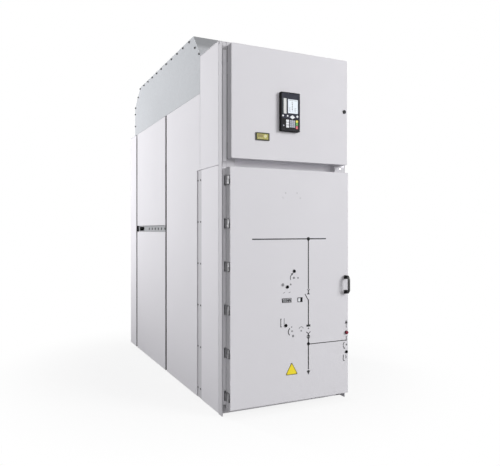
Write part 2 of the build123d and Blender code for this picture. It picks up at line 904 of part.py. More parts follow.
# Sockets for the operating shafts, and the mechanical push button
with BuildPart() as sockets:
    with BuildSketch(Plane.XZ.offset(-door_face)):
        with Locations(*socket_places):
            Circle(socket_radius)
    extrude(amount=socket_front)
    with BuildSketch(Plane.XZ.offset(-door_face)):
        with Locations(*socket_places):
            RegularPolygon(socket_radius - socket_wall - fit, 8)
    extrude(amount=-socket_length)
    with BuildSketch(Plane.XZ.offset(-door_face + socket_front)):
        with Locations(*socket_places):
            RegularPolygon(socket_bore, 6)
    extrude(amount=-socket_depth, mode=Mode.SUBTRACT)
write(sockets, "operating_sockets")

with BuildPart() as push_button:
    with BuildSketch(Plane.XZ.offset(-door_face)):
        with Locations((button_x, button_height)):
            Circle(button_radius)
    extrude(amount=button_front)
    chamfer(push_button.faces().sort_by(Axis.Y)[0].edges(), button_chamfer)
    with BuildSketch(Plane.XZ.offset(-door_face)):
        with Locations((button_x, button_height)):
            RegularPolygon(button_radius - socket_wall - fit, 8)
    extrude(amount=-socket_length)
write(push_button, "push_button")
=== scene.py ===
"""Looks of a switchgear panel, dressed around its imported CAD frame."""

import json
import math

import bmesh
import bpy
from mathutils import Matrix, Vector


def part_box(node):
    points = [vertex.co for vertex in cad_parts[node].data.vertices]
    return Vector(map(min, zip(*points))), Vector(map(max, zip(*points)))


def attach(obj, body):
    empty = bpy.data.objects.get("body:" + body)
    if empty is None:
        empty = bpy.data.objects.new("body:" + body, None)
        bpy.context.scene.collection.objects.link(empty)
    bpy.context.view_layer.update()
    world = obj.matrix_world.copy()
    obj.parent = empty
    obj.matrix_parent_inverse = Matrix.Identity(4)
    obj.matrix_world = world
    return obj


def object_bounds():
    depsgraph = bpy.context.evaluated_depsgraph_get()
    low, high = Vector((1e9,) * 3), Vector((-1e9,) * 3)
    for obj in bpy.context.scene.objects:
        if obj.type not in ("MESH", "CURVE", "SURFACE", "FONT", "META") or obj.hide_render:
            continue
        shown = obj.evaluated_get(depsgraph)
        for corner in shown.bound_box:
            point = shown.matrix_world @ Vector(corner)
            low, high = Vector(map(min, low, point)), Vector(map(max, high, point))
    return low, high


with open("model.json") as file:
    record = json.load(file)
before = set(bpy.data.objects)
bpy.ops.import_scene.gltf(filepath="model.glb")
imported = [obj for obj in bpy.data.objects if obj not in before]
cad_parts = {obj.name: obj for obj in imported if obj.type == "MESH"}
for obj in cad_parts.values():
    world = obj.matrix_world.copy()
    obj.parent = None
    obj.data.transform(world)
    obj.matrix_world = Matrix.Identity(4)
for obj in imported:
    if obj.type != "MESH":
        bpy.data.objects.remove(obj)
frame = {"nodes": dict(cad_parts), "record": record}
cad_low, cad_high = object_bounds()

bpy.context.scene.view_settings.view_transform = "Standard"

CABINET = "cabinet"
LOWER_DOOR = "lower_door"
UPPER_DOOR = "instrument_door"

# Places that the frame gives
door_low, door_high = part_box("lower_door")
upper_low, upper_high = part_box("instrument_door")
post_low, post_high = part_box("left_front_post")
relay_low, relay_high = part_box("protection_relay")
indicator_low, indicator_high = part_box("voltage_indicator")
button_low, button_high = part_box("push_button")
handle_low, handle_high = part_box("door_handle")
strip_low, strip_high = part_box("left_joint_strip")
rail_low, rail_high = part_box("left_hole_rail")
front_low, front_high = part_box("hood_front")
hinge_axes = {joint["name"]: joint["pos_m"] for joint in frame["record"]["behaviour"]["joints"]}
door_face = door_low.y
panel_front = post_low.y
panel_rear = cad_high.y


# Node trees
def add_node(tree, kind, inputs=None, **settings):
    """Adds a node, sets its properties, and fills or links its inputs."""
    node = tree.nodes.new(kind)
    for name, value in settings.items():
        setattr(node, name, value)
    for name, value in (inputs or {}).items():
        if isinstance(value, bpy.types.NodeSocket):
            tree.links.new(value, node.inputs[name])
        else:
            node.inputs[name].default_value = value
    return node


def feed(node, name, socket):
    """Links a socket to one of a node's inputs."""
    node.id_data.links.new(socket, node.inputs[name])


def new_finish(name, roughness, metallic=0.0):
    """A material with its tree, its surface node and the object's own coordinates in metres."""
    material = bpy.data.materials.new(name)
    material.use_nodes = True
    tree = material.node_tree
    surface = tree.nodes["Principled BSDF"]
    surface.inputs["Roughness"].default_value = roughness
    surface.inputs["Metallic"].default_value = metallic
    place = add_node(tree, "ShaderNodeTexCoord").outputs["Object"]
    return material, tree, surface, place


def noise(tree, place, scale, detail):
    inputs = {"Vector": place, "Scale": scale, "Detail": detail}
    return add_node(tree, "ShaderNodeTexNoise", inputs).outputs["Fac"]


def stretched(tree, place, stretch):
    """Coordinates multiplied by a factor along each axis, for a brushed or rolled grain."""
    return add_node(tree, "ShaderNodeMapping", {"Vector": place, "Scale": stretch}).outputs[0]


def ranged(tree, value, source, target):
    """A value mapped from one (low, high) pair to another."""
    inputs = {"Value": value, "From Min": source[0], "From Max": source[1]}
    inputs |= {"To Min": target[0], "To Max": target[1]}
    return add_node(tree, "ShaderNodeMapRange", inputs).outputs["Result"]


def spread(tree, value, low=0.0, high=1.0):
    """A noise value stretched from its usual middle band to the range low to high."""
    return ranged(tree, value, (0.3, 0.7), (low, high))


def blended(tree, factor, first, second):
    node = add_node(tree, "ShaderNodeMix", data_type="RGBA")
    tree.links.new(factor, node.inputs["Factor"])
    for socket, colour in ((node.inputs[6], first), (node.inputs[7], second)):
        if isinstance(colour, bpy.types.NodeSocket):
            tree.links.new(colour, socket)
        else:
            socket.default_value = (*colour, 1.0)
    return node.outputs[2]


def bumped(tree, height, distance, strength, under=None):
    inputs = {"Height": height, "Distance": distance, "Strength": strength}
    if under is not None:
        inputs["Normal"] = under
    return add_node(tree, "ShaderNodeBump", inputs).outputs["Normal"]


def shade(colour, factor):
    return tuple(channel * factor for channel in colour)


# Finishes
def powder_coat(name, colour, roughness=0.62):
    """Fine textured powder coat: orange peel, fine grain and a slight unevenness of tone."""
    material, tree, surface, place = new_finish(name, roughness)
    surface.inputs["Specular IOR Level"].default_value = 0.2
    broad = spread(tree, noise(tree, place, 2.3, 4.0))
    tone = blended(tree, broad, shade(colour, 0.985), shade(colour, 1.015))
    speck = spread(tree, noise(tree, place, 1400.0, 1.0))
    speckled = blended(tree, speck, shade(colour, 0.97), shade(colour, 1.03))
    inputs = {0: 0.35, 6: tone, 7: speckled}
    mixed = add_node(tree, "ShaderNodeMix", inputs, data_type="RGBA").outputs[2]
    feed(surface, "Base Color", mixed)
    peel = bumped(tree, noise(tree, place, 260.0, 1.0), 0.0004, 0.22)
    grain = bumped(tree, noise(tree, place, 1500.0, 1.0), 0.0002, 0.12, peel)
    feed(surface, "Normal", grain)
    dull = spread(tree, noise(tree, place, 9.0, 3.0), roughness - 0.05, roughness + 0.05)
    feed(surface, "Roughness", dull)
    return material


def zinc_sheet(name, colour, spangle, shaded_above=None):
    """Hot dip zinc: crystals of slightly different tone and gloss, and long rolling marks.

    A sheet may be darker towards its top, as painted shade: shaded_above gives two heights and
    the tone above them.
    """
    roughness = 0.62
    material, tree, surface, place = new_finish(name, roughness, 0.12)
    surface.inputs["Specular IOR Level"].default_value = 0.1
    waves = {"Vector": place, "Scale": spangle * 0.7}
    swirl = add_node(tree, "ShaderNodeTexNoise", waves).outputs["Color"]
    inputs = {0: 0.02, 4: place, 5: swirl}
    wavy = add_node(tree, "ShaderNodeMix", inputs, data_type="VECTOR").outputs[1]
    inputs = {"Vector": wavy, "Scale": spangle, "Randomness": 1.0}
    crystals = add_node(tree, "ShaderNodeTexVoronoi", inputs).outputs["Color"]
    split = add_node(tree, "ShaderNodeSeparateColor", {0: crystals})
    tone = blended(tree, split.outputs[0], shade(colour, 0.94), shade(colour, 1.06))
    cloud = spread(tree, noise(tree, place, 1.7, 3.0))
    clouded = blended(tree, cloud, shade(colour, 0.95), shade(colour, 1.04))
    inputs = {0: 0.5, 6: tone, 7: clouded}
    mixed = add_node(tree, "ShaderNodeMix", inputs, data_type="RGBA").outputs[2]
    # Painted shade: above the given heights the colour runs into a darker copy of itself
    if shaded_above:
        low, high, factor = shaded_above
        height = add_node(tree, "ShaderNodeSeparateXYZ", {0: place}).outputs["Z"]
        level = ranged(tree, height, (low, high), (0.0, 1.0))
        mixed = blended(tree, level, mixed, shade(colour, factor))
    feed(surface, "Base Color", mixed)
    dull = ranged(tree, split.outputs[1], (0.0, 1.0), (roughness - 0.06, roughness + 0.08))
    feed(surface, "Roughness", dull)
    rolled = noise(tree, stretched(tree, place, (60.0, 1.5, 60.0)), 4.0, 2.0)
    feed(surface, "Normal", bumped(tree, rolled, 0.0003, 0.12))
    return material


def satin_metal(name, colour, roughness=0.32):
    """Plated small parts: a fine drawn grain and small patches of duller plating."""
    material, tree, surface, place = new_finish(name, roughness, 1.0)
    patches = spread(tree, noise(tree, place, 160.0, 3.0))
    tone = blended(tree, patches, shade(colour, 0.86), shade(colour, 1.08))
    feed(surface, "Base Color", tone)
    dull = spread(tree, noise(tree, place, 240.0, 2.0), roughness - 0.06, roughness + 0.1)
    feed(surface, "Roughness", dull)
    drawn = noise(tree, stretched(tree, place, (1.0, 1.0, 0.05)), 2600.0, 1.0)
    feed(surface, "Normal", bumped(tree, drawn, 0.0001, 0.15))
    return material


def hinge_metal(name, axis, radius, bright, dark):
    """Bright turned barrels within a radius of an upright axis, and darker plates beyond it."""
    material = satin_metal(name, bright, 0.36)
    tree = material.node_tree
    surface = tree.nodes["Principled BSDF"]
    worn = surface.inputs["Base Color"].links[0].from_socket
    place = add_node(tree, "ShaderNodeTexCoord").outputs["Object"]
    kind = "ShaderNodeVectorMath"
    on_axis = {0: place, 1: (axis[0], axis[1], 0)}
    offset = add_node(tree, kind, on_axis, operation="SUBTRACT").outputs[0]
    level = add_node(tree, kind, {0: offset, 1: (1, 1, 0)}, operation="MULTIPLY").outputs[0]
    away = add_node(tree, kind, {0: level}, operation="LENGTH").outputs["Value"]
    beyond = {0: away, 1: radius}
    plate = add_node(tree, "ShaderNodeMath", beyond, operation="GREATER_THAN").outputs[0]
    feed(surface, "Base Color", blended(tree, plate, worn, dark))
    return material


def moulded(name, colour, roughness, grain=0.12, gloss=0.0, specular=0.5):
    """Moulded plastic with a spark eroded grain, clear coated by gloss."""
    material, tree, surface, place = new_finish(name, roughness)
    surface.inputs["Specular IOR Level"].default_value = specular
    surface.inputs["Coat Weight"].default_value = gloss
    patches = spread(tree, noise(tree, place, 60.0, 3.0))
    tone = blended(tree, patches, shade(colour, 0.9), shade(colour, 1.1))
    feed(surface, "Base Color", tone)
    dull = spread(tree, noise(tree, place, 35.0, 3.0), roughness - 0.05, roughness + 0.07)
    feed(surface, "Roughness", dull)
    feed(surface, "Normal", bumped(tree, noise(tree, place, 2200.0, 1.0), 0.0001, grain))
    return material


def printed(name, colour, roughness=0.5):
    """Screen printed ink or film: an even colour with a faint mottle and a soft dull surface."""
    material, tree, surface, place = new_finish(name, roughness)
    mottle = spread(tree, noise(tree, place, 420.0, 2.0))
    tone = blended(tree, mottle, shade(colour, 0.93), shade(colour, 1.06))
    feed(surface, "Base Color", tone)
    feed(surface, "Normal", bumped(tree, noise(tree, place, 1800.0, 1.0), 0.00005, 0.1))
    return material


def foam_rubber(name, colour):
    """Closed cell foam: dark pores, each with a small dent."""
    material, tree, surface, place = new_finish(name, 0.85)
    inputs = {"Vector": place, "Scale": 900.0}
    cells = add_node(tree, "ShaderNodeTexVoronoi", inputs).outputs["Distance"]
    tone = blended(tree, cells, shade(colour, 0.6), shade(colour, 1.3))
    feed(surface, "Base Color", tone)
    feed(surface, "Normal", bumped(tree, cells, 0.0004, 0.5))
    return material


def lit_screen(name, colour):
    """Backlit display: an even glow with faint rows."""
    material, tree, surface, place = new_finish(name, 0.4)
    surface.inputs["Specular IOR Level"].default_value = 0.15
    surface.inputs["Emission Strength"].default_value = 0.12
    inputs = {"Vector": place, "Scale": 55.0, "Distortion": 0.0}
    rows = add_node(tree, "ShaderNodeTexWave", inputs, bands_direction="Z").outputs["Fac"]
    tint = blended(tree, rows, shade(colour, 0.94), colour)
    feed(surface, "Base Color", tint)
    feed(surface, "Emission Color", tint)
    return material


PALE_PAINT = (0.665, 0.655, 0.685)
DARK_SEAM = (0.06, 0.059, 0.063)
SPANGLE = 95.0
BARREL_RADIUS = 0.0054
# Share of the hood front's height below its painted shade, and the soft edge of that shade
HOOD_FRONT_BRIGHT_SHARE = 0.58
HOOD_FRONT_SOFT_EDGE = 0.02

finishes = {
    "light_grey_paint": powder_coat("light grey powder coat", PALE_PAINT),
    "galvanised_steel": zinc_sheet("zinc coated sheet", (0.525, 0.54, 0.565), SPANGLE),
    "dark_seam_steel": powder_coat("dark grey seam paint", DARK_SEAM, 0.55),
    "hinge_steel": satin_metal("satin zinc plating", (0.62, 0.62, 0.6)),
    "black_plastic": moulded("black moulded plastic", (0.008, 0.008, 0.009), 0.5, specular=0.12),
    "red_plastic": moulded("red moulded plastic", (0.42, 0.018, 0.03), 0.3, 0.05, 0.3),
}
black = finishes["black_plastic"]
bolt_zinc = satin_metal("bright zinc bolt", (0.62, 0.62, 0.62), 0.3)
hinge_plating = hinge_metal(
    "turned hinge barrel",
    hinge_axes["lower_door_hinge"],
    BARREL_RADIUS,
    bright=(0.66, 0.66, 0.67),
    dark=(0.36, 0.36, 0.37),
)
# Lighter than the other black plastic as painted sheen along the bow, and glossier
handle_grip_painted_sheen = moulded("black handle grip, lightened as painted sheen", (0.03, 0.03, 0.03), 0.38, 0.08, specular=0.6)
dark_red = moulded("dark red moulded plastic", (0.2, 0.008, 0.028), 0.3, 0.05, 0.2)
# A darker copy of the seam paint: painted shade deep in the rear seams
shaded_seam_paint = powder_coat("seam paint, painted shade of the rear seam", shade(DARK_SEAM, 0.4), 0.55)
rail_zinc = zinc_sheet("zinc coated punched rail", (0.37, 0.375, 0.39), 120.0)
# The hood front takes a darker zinc tone, and a darker one still above hood_front_middle: both
# painted shade on its sloping face
hood_front_middle = front_low.z + HOOD_FRONT_BRIGHT_SHARE * (front_high.z - front_low.z)
hood_front_shaded_zinc = zinc_sheet(
    "zinc coated hood front, painted shade",
    (0.47, 0.48, 0.5),
    SPANGLE,
    shaded_above=(
        hood_front_middle - HOOD_FRONT_SOFT_EDGE,
        hood_front_middle + HOOD_FRONT_SOFT_EDGE,
        0.66,
    ),
)
olive_case = moulded("dark olive moulded case", (0.035, 0.035, 0.014), 0.45, specular=0.2)
# Lighter copies of the pale paint for the channel covers: painted light beside the lower door,
# brighter painted light beside the instrument door
cover_painted_light = powder_coat("edge strip paint, painted light", shade(PALE_PAINT, 1.12))
cover_brighter_painted_light = powder_coat("edge strip paint, brighter painted light", shade(PALE_PAINT, 1.36))
dark_bolt = satin_metal("black oxide bolt", (0.12, 0.12, 0.125), 0.4)
black_ink = printed("black screen print", (0.012, 0.012, 0.014))
grey_ink = printed("grey screen print", (0.19, 0.19, 0.2))
yellow_film = printed("yellow film", (0.86, 0.7, 0.03), 0.35)
olive_ink = printed("dark olive print", (0.13, 0.11, 0.012), 0.4)
gasket_foam = foam_rubber("foam rubber", (0.035, 0.035, 0.038))
grey_plug = moulded("grey plastic plug", (0.24, 0.24, 0.25), 0.5)
pale_plug = moulded("light grey plastic plug", shade(PALE_PAINT, 0.9), 0.5)
screen_white = lit_screen("lit display", (0.72, 0.78, 0.84))
label_paper = printed("label paper", (0.66, 0.67, 0.66), 0.6)
panel_slate = moulded("slate front foil", (0.02, 0.022, 0.036), 0.5, 0.06, specular=0.12)
key_white = moulded("white rubber key", (0.75, 0.77, 0.8), 0.55)
key_silver = moulded("silver grey rubber key", (0.42, 0.45, 0.52), 0.55)
key_yellow = moulded("yellow rubber key", (0.78, 0.68, 0.05), 0.5)
key_green = moulded("green rubber key", (0.1, 0.36, 0.06), 0.5)
key_red = moulded("red rubber key", (0.6, 0.07, 0.09), 0.5)
indicator_yellow = printed("indicator front foil", (0.36, 0.33, 0.075), 0.6)
indicator_lcd = printed("indicator display", (0.25, 0.21, 0.07), 0.6)
indicator_pale = moulded("pale test socket", (0.6, 0.58, 0.33), 0.5)
led_off = moulded("signal lamp lens", (0.05, 0.09, 0.05), 0.25, 0.02, 0.5)

# Copies of the pale paint, lighter or darker by a factor: painted light and shade on the side
# sheets and panels, the front posts and the cross rails, and a darker paint on the joint strips
PAINT_SHADE_AND_JOINT_FACTORS = {
    "front_side_sheet": 1.06,
    "instrument_side_sheet": 1.04,
    "main_side_panel": 1.02,
    "rear_side_panel": 0.99,
    "end_side_panel": 1.06,
    "joint_strip": 0.8,
    "front_post": 0.87,
    "cross_rail": 1.15,
}
shade_and_joint_paints = {
    part: powder_coat(f"powder coat, {part.replace('_', ' ')}", shade(PALE_PAINT, factor))
    for part, factor in PAINT_SHADE_AND_JOINT_FACTORS.items()
}
own_finishes = {
    "door_hinge_frame_halves": hinge_plating,
    "door_hinge_door_halves": hinge_plating,
    "door_handle": handle_grip_painted_sheen,
    "push_button": dark_red,
    "left_rear_seam_post": shaded_seam_paint,
    "right_rear_seam_post": shaded_seam_paint,
    "left_hole_rail": rail_zinc,
    "right_hole_rail": rail_zinc,
    "hood_front": hood_front_shaded_zinc,
    "voltage_indicator": olive_case,
}
for subpart in frame["record"]["subparts"]:
    node = subpart["node"]
    finish = own_finishes.get(node, finishes[subpart["material_slot"]])
    # Side sheets and panels, front posts and cross rails take their painted light or shade here,
    # joint strips their darker paint
    for part, paint in shade_and_joint_paints.items():
        if node.endswith(part):
            finish = paint
    materials = frame["nodes"][node].data.materials
    materials.clear()
    materials.append(finish)


# Meshes, built in the plane of the surface that carries them: a across, b up, c outwards
SUNK = 0.0002
UPRIGHT_TO_FRONT = (1, 0, 0)
UPRIGHT_TO_REAR = (-1, 0, 0)


def surface_plane(origin, across):
    """The upright plane through a point, with that direction across it."""
    across, up = Vector(across), Vector((0, 0, 1))
    turn = Matrix((across, up, across.cross(up))).transposed()
    return Matrix.Translation(origin) @ turn.to_4x4()


def loft(mesh, plane, rings):
    """Skins rings of equally many points, (a, b, c), and closes both ends."""
    loops = [[mesh.verts.new(plane @ Vector(point)) for point in ring] for ring in rings]
    for lower, upper in zip(loops, loops[1:]):
        for index, vertex in enumerate(lower):
            after = (index + 1) % len(lower)
            mesh.faces.new((vertex, lower[after], upper[after], upper[index]))
    mesh.faces.new(list(reversed(loops[0])))
    mesh.faces.new(loops[-1])


def slab(mesh, plane, outline, thickness, sunk=SUNK, edge=0.0):
    """A flat shape, its back sunk a little, with a bevelled rim where edge is given."""
    middle = sum((Vector(point) for point in outline), Vector((0, 0))) / len(outline)
    heights = [(-sunk, 0.0), (thickness - edge, 0.0)]
    if edge:
        heights.append((thickness, edge))
    rings = []
    for height, inset in heights:
        ring = []
        for point in outline:
            offset = Vector(point) - middle
            shrink = 1 - inset / max(offset.length, 1e-6)
            ring.append((*(middle + offset * shrink), height))
        rings.append(ring)
    loft(mesh, plane, rings)


def turned(mesh, plane, centre, profile, count=20):
    """A turned shape from (radius, height) pairs, from its base outwards."""
    rings = []
    for radius, height in profile:
        rings.append([(*point, height) for point in circle(centre, radius, count)])
    loft(mesh, plane, rings)


def polar(centre, radius, angle):
    """The point at that distance and angle from a centre."""
    return centre[0] + radius * math.cos(angle), centre[1] + radius * math.sin(angle)


def circle(centre, radius, count=24):
    return [polar(centre, radius, math.tau * number / count) for number in range(count)]


def rectangle(left, bottom, right, top):
    return [(left, bottom), (right, bottom), (right, top), (left, top)]


def rounded(left, bottom, right, top, radius, steps=4):
    """A rectangle with round corners."""
    outline = []
    corners = (
        (right - radius, bottom + radius, -0.25),
        (right - radius, top - radius, 0.0),
        (left + radius, top - radius, 0.25),
        (left + radius, bottom + radius, 0.5),
    )
    for a, b, start in corners:
        for step in range(steps + 1):
            angle = math.tau * (start + 0.25 * step / steps)
            outline.append(polar((a, b), radius, angle))
    return outline


def stroke(start, end, width):
    """A straight line of that width, with square ends."""
    start, end = Vector(start), Vector(end)
    side = (end - start).normalized().orthogonal() * width / 2
    return [start - side, end - side, end + side, start + side]


def band(mesh, plane, centre, radius, width, begin, end, thickness, count=20):
    """An arc or a whole ring of that width, between two angles in degrees."""
    inner, outer = [], []
    for step in range(count + 1):
        angle = math.radians(begin + (end - begin) * step / count)
        way = Vector(polar((0, 0), 1, angle))
        inner.append(Vector(centre) + way * (radius - width / 2))
        outer.append(Vector(centre) + way * (radius + width / 2))
    for step in range(count):
        quad = [inner[step], outer[step], outer[step + 1], inner[step + 1]]
        slab(mesh, plane, quad, thickness)


def hexagon(centre, across_flats, limit, height, count=24):
    """Points of a hexagon, cut back to a circle of radius limit at its corners."""
    points = []
    for number in range(count):
        angle = math.tau * number / count
        from_flat = (angle + math.pi / 6) % (math.pi / 3) - math.pi / 6
        radius = min(across_flats / 2 / math.cos(from_flat), limit)
        points.append((*polar(centre, radius, angle), height))
    return points


def hex_bolt(mesh, plane, centre, size):
    """Washer and chamfered hexagon head of a bolt with that thread diameter."""
    washer, head, flats = size * 0.2, size * 0.7, size * 1.65
    turned(
        mesh,
        plane,
        centre,
        [(size * 1.05, -SUNK), (size * 1.05, washer * 0.7), (size * 0.98, washer)],
    )
    loft(
        mesh,
        plane,
        [
            hexagon(centre, flats, flats, washer - 0.0001),
            hexagon(centre, flats, flats, washer + head * 0.72),
            hexagon(centre, flats, flats * 0.5, washer + head),
            hexagon(centre, flats * 0.8, flats * 0.38, washer + head),
            hexagon(centre, flats * 0.6, flats * 0.28, washer + head * 0.9),
        ],
    )


def pan_screw(mesh, plane, centre, size):
    """Low domed screw head with a six lobed drive."""
    head = size * 0.45
    count = 24
    rings = [
        [(*point, height) for point in circle(centre, radius, count)]
        for radius, height in (
            (size * 0.95, -SUNK),
            (size * 0.95, head * 0.35),
            (size * 0.8, head * 0.8),
            (size * 0.5, head),
        )
    ]
    for depth in (head, head * 0.3):
        lobes = []
        for number in range(count):
            angle = math.tau * number / count
            radius = size * (0.34 + 0.06 * math.cos(6 * angle))
            lobes.append((*polar(centre, radius, angle), depth))
        rings.append(lobes)
    loft(mesh, plane, rings)


SHARP_ANGLE = math.radians(32)


def piece(name, material, body, build):
    """Makes one named object from a function that fills its mesh."""
    mesh = bmesh.new()
    build(mesh)
    bmesh.ops.recalc_face_normals(mesh, faces=mesh.faces)
    data = bpy.data.meshes.new(name)
    mesh.to_mesh(data)
    mesh.free()
    data.shade_smooth()
    data.set_sharp_from_angle(angle=SHARP_ANGLE)
    data.materials.append(material)
    made = bpy.data.objects.new(name, data)
    bpy.context.scene.collection.objects.link(made)
    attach(made, body)


left_side = surface_plane((cad_low.x, 0, 0), (0, -1, 0))
right_side = surface_plane((cad_high.x, 0, 0), (0, 1, 0))
lower_front = surface_plane((0, door_face, 0), UPRIGHT_TO_FRONT)


def on_both_sides(name, material, build, depth=0.0):
    """The same small parts left and right: build gets a mesh, a plane and a sign for Y.

    depth is how far the surface that carries them lies inside the panel's side planes.
    """
    for side, flat, sign in (("left", left_side, -1), ("right", right_side, 1)):
        plane = flat @ Matrix.Translation((0, 0, -depth))
        piece(
            f"{side}_{name}",
            material,
            CABINET,
            lambda mesh, plane=plane, sign=sign: build(mesh, plane, sign),
        )


# Cover strips of the channels beside the door stops, left open around the hinges
CHANNEL_INNER, CHANNEL_OUTER = 0.4684, 0.4916
COVER_BACK = 0.0016
COVER_THICKNESS = 0.0012
COVER_FOOT = 0.078
COVER_OVERLAP = 0.012
BRIGHT_COVER_END = 0.03
ROOF_EDGE = 0.027
FIRST_HINGE = 0.136
HINGE_PITCH = 0.286
HINGES = 6
HINGE_WINDOW = 0.034
WINDOW_EDGE = 0.4842
hinge_rows = [FIRST_HINGE + HINGE_PITCH * number for number in range(HINGES)]
cover_plane = surface_plane(
    (0, panel_front + COVER_BACK + COVER_THICKNESS, 0), UPRIGHT_TO_FRONT
)


def cover(name, paint, bottom, top, columns):
    """An upright strip in columns, (left, right, heights of the windows left open)."""

    def build(mesh):
        for left, right, windows in columns:
            edges = [bottom]
            for row in windows:
                edges += [row - HINGE_WINDOW, row + HINGE_WINDOW]
            edges.append(top)
            for foot, head in zip(edges[::2], edges[1::2]):
                outline = rectangle(left, foot, right, head)
                slab(mesh, cover_plane, outline, COVER_THICKNESS, 0.0)

    piece(f"{name}_channel_cover", paint, CABINET, build)


left_columns = [(-CHANNEL_OUTER, -CHANNEL_INNER, ())]
right_columns = [(CHANNEL_INNER, CHANNEL_OUTER, ())]
hinge_columns = [
    (-CHANNEL_OUTER, -WINDOW_EDGE, ()),
    (-WINDOW_EDGE, -CHANNEL_INNER, hinge_rows),
]
# The covers beside the lower door carry painted light
cover("left", cover_painted_light, COVER_FOOT, door_high.z, hinge_columns)
cover("right", cover_painted_light, COVER_FOOT, door_high.z, right_columns)
upper_cover_foot = upper_low.z - COVER_OVERLAP
upper_cover_top = upper_high.z - BRIGHT_COVER_END
# Between the doors and at the top the covers take the front posts' painted shade, beside the
# instrument door brighter painted light
for side_name, columns in (("left", left_columns), ("right", right_columns)):
    for place_name, paint, bottom, top in (
        ("middle", shade_and_joint_paints["front_post"], door_high.z, upper_cover_foot),
        ("upper", cover_brighter_painted_light, upper_cover_foot, upper_cover_top),
        ("top", shade_and_joint_paints["front_post"], upper_cover_top, post_high.z - ROOF_EDGE),
    ):
        cover(f"{side_name}_{place_name}", paint, bottom, top, columns)

# Bright stud between the two doors, screwed into the web of the cross rail
STUD = (0.454, 1.686)
STUD_DEPTH = 0.0527
STUD_LENGTH = 0.05
STUD_THREAD = 0.007
stud_foot = panel_front + STUD_DEPTH


def fill_stud(mesh):
    foot = surface_plane((0, stud_foot, 0), UPRIGHT_TO_FRONT)
    tip = surface_plane((0, stud_foot - STUD_LENGTH, 0), UPRIGHT_TO_FRONT)
    profile = [(0.009, -SUNK), (0.009, 0.004), (0.004, 0.005), (0.004, STUD_LENGTH)]
    turned(mesh, foot, STUD, profile)
    hex_bolt(mesh, tip, STUD, STUD_THREAD)


piece("door_stud", bolt_zinc, CABINET, fill_stud)

# Hood bolts along the canopy's bent edge
HOOD_BOLT = 0.008
HOOD_EDGE = 0.016
HOOD_TOP_BOLTS = 11
HOOD_TOP_FIRST = 0.058
HOOD_TOP_SPAN = 0.94
HOOD_FRONT_BOLTS = ((0.07, 0.009), (0.56, 0.034))
HOOD_REAR_SHARES = (0.42, 0.93)
HOOD_REAR_DROPS = (0.067, 0.193)
hood_outline = sorted(
    {
        (round(vertex.co.y, 4), round(vertex.co.z, 4))
        for vertex in frame["nodes"]["left_hood_side"].data.vertices
        if vertex.co.x < cad_low.x + 0.001
    }
)


def hood_corner(choose):
    """The corner of the hood's side plate that is highest by a rule."""
    return Vector(max(hood_outline, key=choose))


hood_front_top = hood_corner(lambda point: (round(point[1], 3), -point[0]))
hood_rear_top = hood_corner(lambda point: (round(point[1], 3), point[0]))
hood_front_foot = hood_corner(lambda point: (-round(point[0], 3), point[1]))
hood_rear_foot = hood_corner(lambda point: (round(point[0], 3), point[1]))


def bolts_between(start, end, shares, inset=HOOD_EDGE):
    """Places at shares of the way along an edge of the hood, set in from it."""
    along = (end - start).normalized()
    inwards = Vector((along.y, -along.x)) * inset
    return [start.lerp(end, share) + inwards for share in shares]


hood_bolts = bolts_between(
    hood_front_top,
    hood_rear_top,
    [
        HOOD_TOP_FIRST + HOOD_TOP_SPAN * number / (HOOD_TOP_BOLTS - 1)
        for number in range(HOOD_TOP_BOLTS)
    ],
)
for share, inset in HOOD_FRONT_BOLTS:
    hood_bolts += bolts_between(hood_front_foot, hood_front_top, [share], inset)
hood_bolts += bolts_between(hood_rear_top, hood_rear_foot, HOOD_REAR_SHARES)
hood_bolts += [
    Vector((hood_rear_foot.x - HOOD_EDGE, hood_rear_foot.y - drop)) for drop in HOOD_REAR_DROPS
]


def fill_hood_bolts(mesh, plane, sign):
    for place in hood_bolts:
        hex_bolt(mesh, plane, (sign * place.x, place.y), HOOD_BOLT)


on_both_sides("hood_bolts", dark_bolt, fill_hood_bolts)

# Screws of the joint strip, in pairs
STRIP_SCREW = 0.007
STRIP_FRONT_INSET = 0.027
STRIP_REAR_INSET = 0.008
STRIP_FIRST_ROW = 0.072
STRIP_PITCH = 0.306
STRIP_ROWS = 6


def fill_strip_screws(mesh, plane, sign):
    for row in range(STRIP_ROWS):
        for across in (strip_low.y + STRIP_FRONT_INSET, strip_high.y - STRIP_REAR_INSET):
            centre = (sign * across, STRIP_FIRST_ROW + STRIP_PITCH * row)
            pan_screw(mesh, plane, centre, STRIP_SCREW)


on_both_sides(
    "joint_strip_screws",
    dark_bolt,
    fill_strip_screws,
    strip_low.x - cad_low.x,
)

# Black grommets in the holes of the punched rails: painted shade, dark discs where the holes show
# only shade
RAIL_HOLES = 6
RAIL_FIRST_HOLE = 0.054
RAIL_PITCH = 0.1
SHADE_GROMMET = [(0.0125, -SUNK), (0.0125, 0.001), (0.0105, 0.0016), (0.007, 0.0004)]


def fill_shade_grommets(mesh, plane, sign):
    height = (rail_low.z + rail_high.z) / 2
    for number in range(RAIL_HOLES):
        across = rail_low.y + RAIL_FIRST_HOLE + RAIL_PITCH * number
        turned(mesh, plane, (sign * across, height), SHADE_GROMMET)


on_both_sides("rail_shade_grommets", black, fill_shade_grommets, rail_low.x - cad_low.x)

# Mimic diagram, printed in lines on the lower door
INK = 0.0003
LINE = 0.0085
FINE_LINE = 0.0055
SWITCH_LINE = 0.0065
main_x = 0.131
busbar_left, busbar_right, busbar_z = -0.312, 0.279, 1.175
upper_contact_z = 0.812
lower_contact_z = 0.798
switch_left, switch_top, switch_foot = -0.028, 0.789, 0.745
breaker_z = 0.568
socket_z = 0.511
ring_z = 0.49
branch_x, branch_z = 0.4585, 0.438
branch_top = 0.468
arrow_top, arrow_tip = 0.258, 0.224


